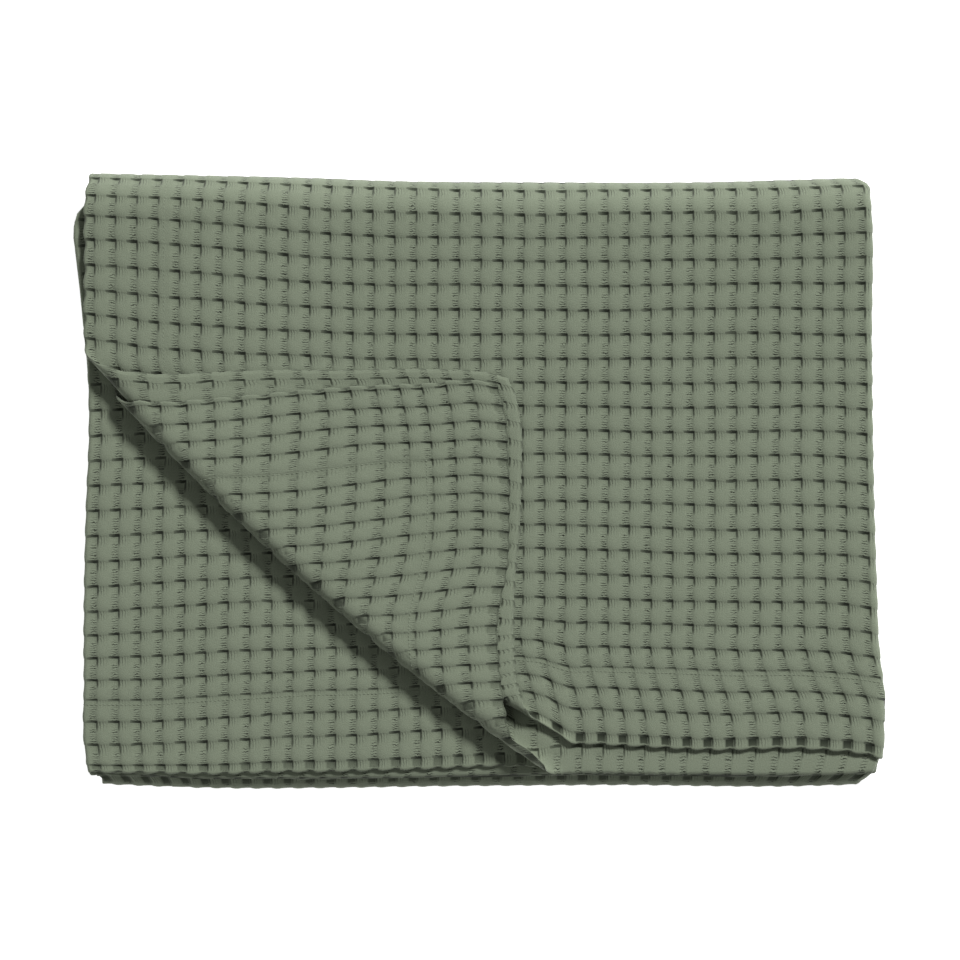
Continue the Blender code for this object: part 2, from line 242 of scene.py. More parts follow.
# The cloth as panels that meet under its folds.
# Columns: name, across from and to, down from and to, fine stretch across, fine stretch down,
# the underside's coarseness, 1 if it is seen turned over
PANELS = (
    ("top_layer", 0.0, 0.69, 0.0, 0.54, (0.0, 0.69), (0.0, 0.54), 2, 0),
    ("second_layer", 1.93, 2.60, 0.0, 0.54, (2.10, 2.60), (0.0, 0.38), 2, 1),
    ("third_layer", 0.69, 1.93, 0.0, 0.54, (1.27, 1.74), (0.0, 0.38), 3, 0),
    ("lowest_layer", 0.0, 0.69, 0.54, 1.06, (0.0, 0.69), (0.54, 1.06), 3, 0),
    ("middle_layers", 0.0, 0.69, 1.06, 2.00, (0.60, 0.69), (1.49, 1.54), 2, 0),
    ("inner_layers", 0.69, 2.60, 0.54, 2.00, (1.28, 1.32), (0.96, 1.04), 2, 0),
)

# The hem seams that show
# Columns: panel, the seam's start across and down, its end across and down
SEAMS = (
    ("top_layer", 0.066, 0.066, 0.066, 0.480),
    ("top_layer", 0.066, 0.066, 0.650, 0.066),
    ("second_layer", 2.5241, 0.066, 2.5241, 0.480),
    ("second_layer", 2.5241, 0.066, 1.960, 0.066),
    ("third_layer", 1.280, 0.066, 1.760, 0.066),
)
STITCH_PITCH = 0.0034
STITCH_LENGTH = 0.0025
STITCH_WIDTH = 0.0007
STITCH_HEIGHT = 0.0004
STITCH_SIDES = 6
STITCH_RINGS = 4
SEAM_HEIGHT = 0.0010  # over the middle of the sheet
THREAD_MARK = 2.0  # tells the material which points are stitches
PLAIN_SPOT = 0.74  # where a cell is smooth, each way

# Where pits are filled with painted shade: on cloth that faces away from this direction, the
# light's, and along the near hem
TOWARD_LIGHT = (0.458, 0.695, 0.554)
FACING_LEVEL = 0.50
FACING_FALL = 0.22
BEND_PIT_SHADE = 0.75
HEM_PIT_SHADE = {"top_layer": 1.0, "second_layer": 0.40, "third_layer": 0.55}
HEM_PIT_SHADE_ROWS = 1.35


class Value:
    """A socket of a node tree that takes part in plain sums."""

    def __init__(self, tree, socket):
        self.tree, self.socket = tree, socket

    def made(self, kind, settings=(), values=(), output=0):
        """Make any node: its settings first, then the values or links of its sockets."""
        node = self.tree.nodes.new(kind)
        for name, setting in dict(settings).items():
            setattr(node, name, setting)
        for place, value in dict(values).items():
            if isinstance(value, Value):
                self.tree.links.new(value.socket, node.inputs[place])
            elif value is not None:
                node.inputs[place].default_value = value
        return Value(self.tree, node.outputs[output])

    def sum(self, operation, *others):
        """One step of arithmetic, as a Math node."""
        return self.made("ShaderNodeMath", {"operation": operation}, enumerate((self, *others)))

    def parts(self):
        """The three numbers of a vector."""
        split = self.made("ShaderNodeSeparateXYZ", (), {0: self})
        return [Value(self.tree, number) for number in split.socket.node.outputs]

    def __add__(self, other):
        return self.sum("ADD", other)

    __radd__ = __add__

    def __sub__(self, other):
        return self.sum("SUBTRACT", other)

    def __rsub__(self, other):
        return (self * -1.0) + other

    def __mul__(self, other):
        return self.sum("MULTIPLY", other)

    __rmul__ = __mul__

    def __truediv__(self, other):
        return self.sum("DIVIDE", other)

    def fraction(self):
        return self.sum("FRACT")

    def sine(self):
        return self.sum("SINE")

    def lower(self, other):
        return self.sum("MINIMUM", other)

    def upper(self, other):
        return self.sum("MAXIMUM", other)

    def rise(self, start, end):
        """0 before start, 1 past end, and a smooth step between them."""
        return self.made(
            "ShaderNodeMapRange",
            {"interpolation_type": "SMOOTHSTEP"},
            {0: self, 1: start, 2: end, 3: 0.0, 4: 1.0},
        )

    def hump(self, middle, width):
        """1 at the middle, falling to 0 a width away on both sides."""
        return 1.0 - (self - middle).sum("ABSOLUTE").rise(0.0, width)


def smooth_row(table, at):
    """Read a two-column table at any place, with a smooth curve through its rows."""
    place, value = np.array(table).T
    slope = np.gradient(value, place)
    at = np.clip(at, place[0], place[-1])
    row = np.clip(np.searchsorted(place, at) - 1, 0, len(place) - 2)
    span = place[row + 1] - place[row]
    t = (at - place[row]) / span
    return (
        value[row] * (1 + 2 * t) * (1 - t) ** 2
        + value[row + 1] * t * t * (3 - 2 * t)
        + span * slope[row] * t * (1 - t) ** 2
        - span * slope[row + 1] * t * t * (1 - t)
    )


def eased(t):
    """0 up to 0, 1 from 1 on, and a smooth step between them."""
    t = np.clip(t, 0, 1)
    return t * t * (3 - 2 * t)


def bend_half(radius, stand):
    """Half the cloth in a bend, a quarter of an ellipse's way round."""
    return math.pi / 2 * radius * math.sqrt((1 + stand * stand) / 2)


def fold_half(fold):
    """Half the cloth in a fold's bend, at the middle of its outer layer."""
    return bend_half((fold[2] - 0.5) * PITCH, fold[3])


def crease_axes():
    """The crease's start, the ways along it and back from it, and its length."""
    start = np.array(CREASE_START)
    along = np.array(CREASE_END) - start
    length = np.hypot(*along)
    along = along / length
    return start, along, np.array((-along[1], along[0])), length


def lay_hems(across, down):
    """Shift the flat cloth near its four hems, as uneven as they lie."""
    near = np.clip(1 - down / HEM_REACH_DOWN, 0, 1)
    far = np.clip(1 - (WIDTH - down) / HEM_REACH_DOWN, 0, 1)
    start = np.clip(1 - across / HEM_REACH_ACROSS, 0, 1)
    end = np.clip(1 - (LENGTH - across) / HEM_REACH_ACROSS, 0, 1)
    laid_down = down + smooth_row(NEAR_HEM, across) * near - smooth_row(FAR_HEM, across) * far
    laid_down = laid_down + smooth_row(NOSE_HEM, across) * np.clip(1 - down / NOSE_HEM_REACH, 0, 1)
    laid_across = across + smooth_row(START_HEM, down) * start - smooth_row(END_HEM, down) * end
    return laid_across, laid_down


def fold_under(run, height, fold):
    """Bend the cloth past the fold's line round an axis under the layers, and back beneath."""
    line, layers, stand = fold[1:]
    axis = -(layers - 0.5) * PITCH
    half = fold_half(fold)
    radius = height - axis
    bent = np.clip(run, line - half, line + half)
    angle = (bent - line) / half * math.pi / 2
    folded_run = line - half + stand * radius * np.cos(angle) - np.abs(run - bent)
    return folded_run, axis - radius * np.sin(angle)


def turn_corner(x, y, z, upper):
    """Turn cloth past the crease up and back over the top, then bow the crease."""
    start, along, back, length = crease_axes()
    outer = CREASE_HEIGHT + PITCH
    place = ((x - start[0]) * along[0] + (y - start[1]) * along[1]) / length
    inset = upper * NOSE_INSET * eased((place - NOSE_START) / NOSE_REACH)
    axis_in = CREASE_STAND * outer + SHEET / 2 + inset
    radius = CREASE_HEIGHT - z
    half = bend_half(radius, CREASE_STAND)
    inside = (x - start[0]) * back[0] + (y - start[1]) * back[1]
    past = axis_in - inside
    bent = np.clip(past, 0, 2 * half)
    angle = (bent / half - 1) * math.pi / 2
    moved = axis_in - CREASE_STAND * radius * np.cos(angle) + np.abs(past - bent) - inside
    beyond = np.maximum(past - 2 * half, 0)
    x = x + moved * back[0] + beyond * TURN_PULL[0]
    y = y + moved * back[1] + beyond * TURN_PULL[1]
    drop = 2 * CREASE_HEIGHT - PITCH
    z = CREASE_HEIGHT + radius * np.sin(angle) - drop * eased(beyond / TURN_SETTLE)
    run = ((x - start[0]) * along[0] + (y - start[1]) * along[1]) / (length / 2) - 1
    away = np.abs((x - start[0]) * back[0] + (y - start[1]) * back[1] - axis_in)
    bow = CREASE_BOW * np.clip(1 - run * run, 0, 1) * eased(1 - away / CREASE_BOW_REACH)
    return x - bow * back[0], y - bow * back[1], z


def settle_edges(x, y, loose):
    """Draw the stack's four edges out or in as its folds bulge, the left by the loose share."""
    right = eased((x - LENGTH / 8 + EDGE_REACH) / EDGE_REACH)
    left = eased((-x - LENGTH / 8 + EDGE_REACH) / EDGE_REACH)
    far = eased((y - STACK_HALF_DOWN + EDGE_REACH) / EDGE_REACH)
    near = eased((-y - STACK_HALF_DOWN + EDGE_REACH) / EDGE_REACH)
    moved_x = x + right * smooth_row(RIGHT_EDGE, y) - left * loose * smooth_row(LEFT_EDGE, y)
    moved_y = y + far * smooth_row(FAR_EDGE, x) - near * smooth_row(NEAR_EDGE, x)
    return moved_x, moved_y


def swell_top(x, y, z):
    """Scale the heights over the surface beneath: the top is uneven and the underside flat."""
    share = np.ones_like(z)
    for place_x, place_y, radius, rise in SWELLS:
        share = share + rise * np.exp(-((x - place_x) ** 2 + (y - place_y) ** 2) / radius**2)
    return z * share


def fold_cloth(across, down):
    """Take points of the flat cloth to their places in the folded stack."""
    across, down = lay_hems(across, down)
    x, y, z = across.copy(), down.copy(), np.zeros_like(across)
    for fold in FOLDS:
        if fold[0] == "across":
            x, z = fold_under(x, z, fold)
        else:
            y, z = fold_under(y, z, fold)
    x, y = x - CENTRE_ACROSS, y - CENTRE_DOWN
    top_fold = ROLLED_FOLD[1] - fold_half(ROLLED_FOLD)
    side_fold = fold_half(QUARTER_LENGTH_FOLD)
    upper = across < QUARTER_LENGTH_FOLD[1] - side_fold
    second = across > LENGTH - QUARTER_LENGTH_FOLD[1] + side_fold
    turning = (down < top_fold) & (upper | second)
    turned = turn_corner(x[turning], y[turning], z[turning], upper[turning])
    x[turning], y[turning], z[turning] = turned
    loose = np.where(upper | second, eased((down - top_fold) / HEM_LOOSENS), 1.0)
    x, y = settle_edges(x, y, loose)
    z = swell_top(x, y, z + (LAYERS - 1) * PITCH) + SHEET / 2
    return np.array((x, y, z))


def comes_in(at, limit):
    """0 up to the limit's place, and 1 past its reach."""
    return eased((at - limit[0]) / limit[1])


def goes_out(at, limit):
    """1 until the limit's reach, and 0 from its place on."""
    return eased((limit[0] - at) / limit[1])


def lay_weave(across, down):
    """Take an even weave's places to where its rows and columns lie on the cloth."""
    on_slide = comes_in(across, SLIDE_COMES_IN) * goes_out(across, SLIDE_GOES_OUT)
    on_third = comes_in(across, THIRD_COMES_IN) * goes_out(across, THIRD_GOES_OUT)
    on_rows = comes_in(down, THIRD_TILT_COMES_IN) * goes_out(down, THIRD_TILT_GOES_OUT)
    slide = smooth_row(ROW_SLIDE, down) * on_slide
    tilt = smooth_row(ROW_TILT, across) * smooth_row(TILT_SHARE, down)
    tilt = tilt + smooth_row(THIRD_TILT, across) * on_rows
    tilt = tilt + smooth_row(THIRD_CLOSER, down) * on_third
    laid_across, laid_down = across + slide, down + smooth_row(ROW_SHIFT, down) + tilt
    by_pit_across = SCALLOP * np.sin(2 * math.pi * across / CELL_ACROSS)
    by_pit_down = SCALLOP * np.sin(2 * math.pi * down / CELL_DOWN)
    laid_across = laid_across + by_pit_down * (
        eased(1 - across / SCALLOP_REACH) - eased(1 - (LENGTH - across) / SCALLOP_REACH)
    )
    laid_down = laid_down + by_pit_across * (
        eased(1 - down / SCALLOP_REACH) - eased(1 - (WIDTH - down) / SCALLOP_REACH)
    )
    for turns_across, turns_down, size in RIPPLES:
        phase = 2 * math.pi * (turns_across * across + turns_down * down)
        laid_across = laid_across + size * np.sin(phase)
        laid_down = laid_down + size * np.sin(phase + RIPPLE_LAG)
    return laid_across, laid_down


def cloth_place(across, down, height):
    """Where points over the middle of the sheet lie in the stack, and the way its face looks."""
    middle = fold_cloth(across, down)
    ahead = fold_cloth(across + NEXT_TO, down) - middle
    beside = fold_cloth(across, down + NEXT_TO) - middle
    normal = np.cross(ahead.T, beside.T).T
    normal = normal / np.linalg.norm(normal, axis=0)
    return (middle + normal * height).T, normal


def cell_squares(u, v):
    """A cell's four squares, as shares: sunk, ribbed over it, ribbed beside it, and smooth."""
    inside_u = u.rise(0.0, SLOPE) * (1.0 - u.rise(PIT - WALL / 2, PIT + WALL / 2))
    inside_v = v.rise(0.0, SLOPE) * (1.0 - v.rise(PIT - WALL / 2, PIT + WALL / 2))
    outside_u, outside_v = 1.0 - inside_u, 1.0 - inside_v
    return inside_u * inside_v, inside_u * outside_v, outside_u * inside_v, outside_u * outside_v


def start_tree(name, taken, sizes, made):
    """Start a Geometry Nodes tree: the shape it takes, its named sizes, and the shape it makes."""
    tree = bpy.data.node_groups.new(name, "GeometryNodeTree")
    face = tree.interface
    face.new_socket(taken, in_out="INPUT", socket_type="NodeSocketGeometry")
    for label, size in sizes:
        socket = face.new_socket(label, in_out="INPUT", socket_type="NodeSocketFloat")
        socket.default_value = size
    face.new_socket("Material", in_out="INPUT", socket_type="NodeSocketMaterial")
    face.new_socket(made, in_out="OUTPUT", socket_type="NodeSocketGeometry")
    sockets = tree.nodes.new("NodeGroupInput").outputs
    return tree, {socket.name: Value(tree, socket) for socket in sockets if socket.name}


def end_tree(tree, given, shape):
    """End a tree in a real shape with its material."""
    real = shape.made("GeometryNodeRealizeInstances", (), {0: shape})
    dressed = real.made(
        "GeometryNodeSetMaterial", (), {"Geometry": real, "Material": given["Material"]}
    )
    result = tree.nodes.new("NodeGroupOutput")
    tree.links.new(dressed.socket, result.inputs[0])
    return tree


def waffle_relief():
    """A tree that presses the waffle, the hem seams and the hems' round edges into flat cloth."""
    sizes = (
        ("Cell Across", CELL_ACROSS), ("Cell Down", CELL_DOWN), ("Pit Depth", PIT_DEPTH),
        ("Rib Drop", RIB_DROP), ("Puff", PUFF), ("Length", LENGTH), ("Width", WIDTH),
        ("Hem Depth", HEM_DEPTH), ("Seam Width", HEM_SEAM_WIDTH), ("Rim", RIM), ("Turned", 0.0),
    )
    tree, given = start_tree("waffle_relief", "Cloth", sizes, "Cloth")
    across, down, height = given["Cloth"].made("GeometryNodeInputPosition").parts()
    under = height.sum("LESS_THAN", 0.0)
    across_cells = across / given["Cell Across"] + under * UNDER_SHIFT
    down_cells = down / given["Cell Down"] + under * UNDER_SHIFT
    u = (across_cells + given["Turned"] * (PIT - down_cells - across_cells)).fraction()
    v = (down_cells + given["Turned"] * (across_cells - down_cells)).fraction()
    pit, over, beside, square = cell_squares(u, v)
    swell_u = (((u - PIT) / (1 - PIT)).upper(0.0) * math.pi).sine()
    swell_v = (((v - PIT) / (1 - PIT)).upper(0.0) * math.pi).sine()
    sunk = given["Pit Depth"] * pit + given["Rib Drop"] * (over + beside)
    sunk = sunk - given["Puff"] * square * swell_u * swell_v
    to_side = across.lower((given["Length"] - across) * END_HEM_SHARE)
    to_front = down.lower(given["Width"] - down)
    to_hem = to_side.lower(to_front)
    seam = to_hem.hump(given["Hem Depth"], given["Seam Width"])
    flattened = to_hem.hump(given["Hem Depth"], given["Seam Width"] * SEAM_SPREAD)
    sunk = sunk * (1.0 - flattened * SEAM_FLATTENS) * (1.0 - under * UNDER_SHALLOWER)
    sunk = sunk + seam * SEAM_GROOVE
    rounded = (to_hem / given["Rim"]).lower(1.0)
    rounded = (1.0 - (1.0 - rounded) * (1.0 - rounded)).sum("SQRT")
    side = 1.0 - under * 2.0
    raised = (height - side * sunk) * (rounded * (1.0 - RIM_LEAST) + RIM_LEAST)
    moved = raised.made("ShaderNodeCombineXYZ", (), {2: raised - height})
    pressed = raised.made(
        "GeometryNodeSetPosition", (), {"Geometry": given["Cloth"], "Offset": moved}
    )
    return end_tree(tree, given, pressed)


def cloth_bends():
    """Where the flat cloth bends across and down: each bend's line, and half the cloth in it."""
    middle, rolled = HALF_WIDTH_FOLD[1], ROLLED_FOLD[1]
    across = (
        (LENGTH / 4, QUARTER_LENGTH_FOLD), (LENGTH / 2, HALF_LENGTH_FOLD),
        (LENGTH * 3 / 4, QUARTER_LENGTH_FOLD),
    )
    down = (
        (rolled, ROLLED_FOLD), (middle, HALF_WIDTH_FOLD), (2 * middle - rolled, ROLLED_FOLD),
    )
    return (
        [(line, fold_half(fold) * ACROSS_BEND_MARGIN) for line, fold in across],
        [(line, fold_half(fold) * DOWN_BEND_MARGIN) for line, fold in down],
    )


def cloth_lines(start, end, fine, cell, cuts, bends, whole):
    """Places of a panel's grid lines: close in its fine stretch and in bends, wide elsewhere."""
    lines = set()
    for index in range(int(fine[0] / cell) - 1, int(fine[1] / cell) + 2):
        lines |= {(index + cut) * cell for cut in cuts}
    lines = {line for line in lines if fine[0] <= line <= fine[1]} | {start, end}
    for line, half in bends:
        lines |= {line + half * (2 * cut / BEND_CUTS - 1) for cut in range(BEND_CUTS + 1)}
    for cut in RIM_CUTS:
        lines |= {RIM * cut, whole - RIM * cut}
    lines = sorted(line for line in lines if start <= line <= end)
    spaced = [start]
    for line in lines[1:]:
        gap = line - spaced[-1]
        if gap > COARSE_SPAN:
            count = math.ceil(gap / COARSE_SPAN)
            spaced += [spaced[-1] + gap * step / count for step in range(1, count)]
        if line - spaced[-1] > LEAST_SPAN:
            spaced.append(line)
    spaced[-1] = end
    return np.array(spaced)


def flat_slab(name, across, down, coarse):
    """A closed flat slab of cloth, its upper side finer than its underside."""
    mesh = bmesh.new()
    sheets = []
    for height, step in ((SHEET / 2, 1), (-SHEET / 2, coarse)):
        columns = list(range(0, len(across) - 1, step)) + [len(across) - 1]
        rows = list(range(0, len(down) - 1, step)) + [len(down) - 1]
        points = {
            (column, row): mesh.verts.new((across[column], down[row], height))
            for row in rows for column in columns
        }
        for row, next_row in zip(rows, rows[1:]):
            for column, next_column in zip(columns, columns[1:]):
                loop = [
                    (column, row), (next_column, row), (next_column, next_row), (column, next_row)
                ]
                if height < 0:
                    loop.reverse()
                mesh.faces.new([points[corner] for corner in loop])
        sheets.append((points, columns, rows))
    (top, _, _), (bottom, columns, rows) = sheets
    last_column, last_row = len(across) - 1, len(down) - 1
    walls = [
        [(column, 0) for column in columns], [(last_column, row) for row in rows],
        [(column, last_row) for column in reversed(columns)], [(0, row) for row in reversed(rows)],
    ]
    for wall in walls:
        for here, after in zip(wall, wall[1:]):
            step_column = (after[0] > here[0]) - (after[0] < here[0])
            step_row = (after[1] > here[1]) - (after[1] < here[1])
            count = max(abs(after[0] - here[0]), abs(after[1] - here[1]))
            upper = [
                top[here[0] + step_column * i, here[1] + step_row * i] for i in range(count + 1)
            ]
            mesh.faces.new([bottom[here], bottom[after]] + upper[::-1])
    flat = bpy.data.meshes.new(name)
    mesh.to_mesh(flat)
    mesh.free()
    return flat


def set_input(modifier, name, value):
    """Set a modifier's input by the identifier of its socket."""
    for item in modifier.node_group.interface.items_tree:
        if item.in_out == "INPUT" and item.name == name:
            modifier[item.identifier] = value


def linked(name, data):
    """A new object in the scene."""
    piece = bpy.data.objects.new(name, data)
    bpy.context.scene.collection.objects.link(piece)
    return piece


def worked_flat(flat, tree, inputs):
    """What a tree makes of a flat mesh, as a plain mesh."""
    holder = linked("flat_cloth", flat)
    work = holder.modifiers.new("work", "NODES")
    work.node_group = tree
    for name, value in inputs.items():
        set_input(work, name, value)
    graph = bpy.context.evaluated_depsgraph_get()
    worked = bpy.data.meshes.new_from_object(holder.evaluated_get(graph))
    bpy.data.objects.remove(holder, do_unlink=True)
    return worked


def points_of(mesh):
    """A mesh's points as three rows of numbers."""
    points = np.empty(len(mesh.vertices) * 3)
    mesh.vertices.foreach_get("co", points)
    return points.reshape(-1, 3).T


def store_map(mesh, name, first, second):
    """Keep two numbers of each point in a UV map."""
    pattern = mesh.uv_layers.new(name=name)
    corners = np.empty(len(mesh.loops), dtype=np.int32)
    mesh.loops.foreach_get("vertex_index", corners)
    numbers = np.stack((first, second), axis=1)[corners]
    pattern.data.foreach_set("uv", numbers.astype(np.float32).ravel())


def store_weave(mesh, name, across, down, under):
    """Keep where each point lies in the weave: cells to the right and up, as seen from above."""
    across_cells = across / CELL_ACROSS + under * UNDER_SHIFT
    down_cells = down / CELL_DOWN + under * UNDER_SHIFT
    right, up = across_cells, down_cells
    if name == "second_layer":
        right = PIT - np.where(under, across_cells, down_cells)
        up = np.where(under, down_cells, across_cells)
    if name == "top_layer":
        right = np.where(under, PIT - down_cells, right)
        up = np.where(under, PIT - across_cells, up)
    store_map(mesh, "weave", right, up)
    to_side = np.minimum(across, (LENGTH - across) * END_HEM_SHARE)
    store_map(mesh, "hems", to_side, np.minimum(down, WIDTH - down))


def store_pit_shade(mesh, name, normal, down, under):
    """Keep how much painted shade fills each point's pit: by the near hem, and where cloth faces
    away from the light.
    """
    facing = np.array(TOWARD_LIGHT) @ np.where(under, -normal, normal)
    bent_away = eased((FACING_LEVEL - facing) / FACING_FALL)
    by_hem = eased(HEM_PIT_SHADE_ROWS - down / CELL_DOWN) * HEM_PIT_SHADE.get(name, 0.0)
    store_map(mesh, "sag", np.maximum(bent_away * BEND_PIT_SHADE, by_hem * ~under), bent_away)


def folded_piece(name, mesh, folded):
    """A piece of the bedspread, its points moved to their folded places."""
    mesh.vertices.foreach_set("co", folded.ravel())
    mesh.update()
    mesh.shade_smooth()
    piece = linked(name, mesh)
    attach(piece, "root")
    return piece


def cloth_panel(row, bends, trees, material):
    """One panel of the bedspread: gridded flat, pressed, then folded into its place."""
    name, across_from, across_to, down_from, down_to, fine_across, fine_down, coarse, turned = row
    relief, stitching = trees
    cuts = TURNED_CUTS if turned else CELL_CUTS
    across = cloth_lines(
        across_from, across_to, fine_across, CELL_ACROSS, CELL_CUTS, bends[0], LENGTH
    )
    down = cloth_lines(down_from, down_to, fine_down, CELL_DOWN, cuts, bends[1], WIDTH)
    flat = flat_slab(name, across, down, coarse)
    under = points_of(flat)[2] < 0
    mesh = worked_flat(flat, relief, {"Material": material, "Turned": float(turned)})
    flat_across, flat_down, height = points_of(mesh)
    store_weave(mesh, name, flat_across, flat_down, under)
    folded, normal = cloth_place(*lay_weave(flat_across, flat_down), height)
    store_pit_shade(mesh, name, normal, flat_down, under)
    panel = folded_piece(name, mesh, folded)
    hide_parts("bedspread")
    seams = [seam[1:] for seam in SEAMS if seam[0] == name]
    sewn = [hem_stitches(name + "_stitches", seams, stitching, material)] if seams else []


def stitch_rows():
    """A tree that sets stitches along its lines."""
    sizes = (
        ("Pitch", STITCH_PITCH), ("Stitch Length", STITCH_LENGTH), ("Stitch Width", STITCH_WIDTH),
        ("Stitch Height", STITCH_HEIGHT),
    )
    tree, given = start_tree("stitch_rows", "Seams", sizes, "Stitches")
    line = given["Seams"].made("GeometryNodeMeshToCurve", (), {"Mesh": given["Seams"]})
    spots = line.made(
        "GeometryNodeResampleCurve", {"mode": "LENGTH"}, {"Curve": line, "Length": given["Pitch"]}
    )
    along = line.made("GeometryNodeInputTangent")
    turned = line.made("FunctionNodeAlignRotationToVector", {"axis": "X"}, {"Vector": along})
    ball = line.made(
        "GeometryNodeMeshUVSphere", (),
        {"Segments": STITCH_SIDES, "Rings": STITCH_RINGS, "Radius": 0.5},
    )
    shape = line.made(
        "ShaderNodeCombineXYZ", (),
        {0: given["Stitch Length"], 1: given["Stitch Width"], 2: given["Stitch Height"]},
    )
    rows = line.made(
        "GeometryNodeInstanceOnPoints", (),
        {"Points": spots, "Instance": ball, "Rotation": turned, "Scale": shape},
    )
    return end_tree(tree, given, rows)


def hem_stitches(name, seams, tree, material):
    """The stitches of a panel's hem seams: set along flat lines, then folded with the cloth."""
    flat = bpy.data.meshes.new(name)
    points = [(*end, SEAM_HEIGHT) for seam in seams for end in (seam[:2], seam[2:])]
    flat.from_pydata(points, [(i, i + 1) for i in range(0, len(points), 2)], [])
    mesh = worked_flat(flat, tree, {"Material": material})
    across, down, height = points_of(mesh)
    store_map(mesh, "weave", np.full_like(across, PLAIN_SPOT), np.full_like(down, PLAIN_SPOT))
    store_map(mesh, "hems", np.ones_like(across), np.ones_like(down))
    store_map(mesh, "sag", np.zeros_like(across), np.full_like(down, THREAD_MARK))
    folded, _ = cloth_place(*lay_weave(across, down), height)
    return folded_piece(name, mesh, folded)


# The cotton
SAGE_LIGHT = (0.2064, 0.2394, 0.1720, 1.0)
SAGE_DEEP = (0.1543, 0.1812, 0.1253, 1.0)
# The colour of the painted shade
SAGE_SHADE = (0.014, 0.019, 0.010, 1.0)
COTTON_FINISH = {
    "Roughness": 0.95,
    "Specular IOR Level": 0.15,
    "Sheen Weight": 0.15,
    "Sheen Roughness": 0.6,
}
RIBS_OVER = 10.0  # ribs a cell
RIBS_BESIDE = 8.0
BUMP_DISTANCE = 0.0006
BUMP_STRENGTH = 0.7
WHOLE_CELLS = 64.0  # keep every place in the weave above zero
EDGE_SHADE = (0.0004, 0.0028)  # painted shade along a hem's edge, over this much cloth
# Unevenness of the yarn. Columns: turns a cell, detail
GRAIN = {
    "flow": (1.7, 2.0),
    "fuzz": (20.0, 3.0),
    "cloudy": (0.17, 3.0),
    "uneven": (0.9, 1.0),
    "twist": (7.0, 1.0),
}
THREADS = (120.0, 132.0)  # of the smooth squares' fine threads, each way


def new_finish(name, settings):
    """A new material, with what is the same all over it set on its shader's own sockets."""
    material = bpy.data.materials.new(name)
    material.use_nodes = True
    surface = material.node_tree.nodes["Principled BSDF"]
    for socket, value in settings.items():
        surface.inputs[socket].default_value = value
    return material, surface


def yarn_grain(weave):
    """The yarn's kinds of unevenness, each from 0 to 1."""
    return (
        weave.made("ShaderNodeTexNoise", (), {"Vector": weave, "Scale": scale, "Detail": detail})
        for scale, detail in GRAIN.values()
    )


def painted_pit_wall_shade(u, v, uneven):
    """Painted shade at a pit's upper wall and right wall, the walls turned from the light."""
    strength = (0.30 + uneven * 1.3).lower(1.0)
    upper_wall_shade = (v.hump(PIT, 0.080) * 2.0).lower(1.0) * (1.0 - u.rise(PIT, PIT + 0.07))
    upper_wall_shade = upper_wall_shade * (u.rise(-0.20, 0.36) * 0.8 + 0.2)
    right_wall_shade = (u.hump(PIT + 0.005, 0.06) * 1.5).lower(1.0)
    right_wall_shade = right_wall_shade * (1.0 - v.rise(PIT - 0.02, PIT + 0.05)) * v.rise(-0.02, 0.26)
    return upper_wall_shade.upper(right_wall_shade * 0.8) * strength


def painted_pit_shade(u, v):
    """Painted shade filling the middle of a pit, darker towards its top."""
    inner = (u.hump(PIT * 0.54, PIT * 0.56) * 2.4).lower(1.0)
    inner = inner * (v.hump(PIT * 0.60, PIT * 0.56) * 2.4).lower(1.0)
    return inner * (v * 0.55 + 0.76)


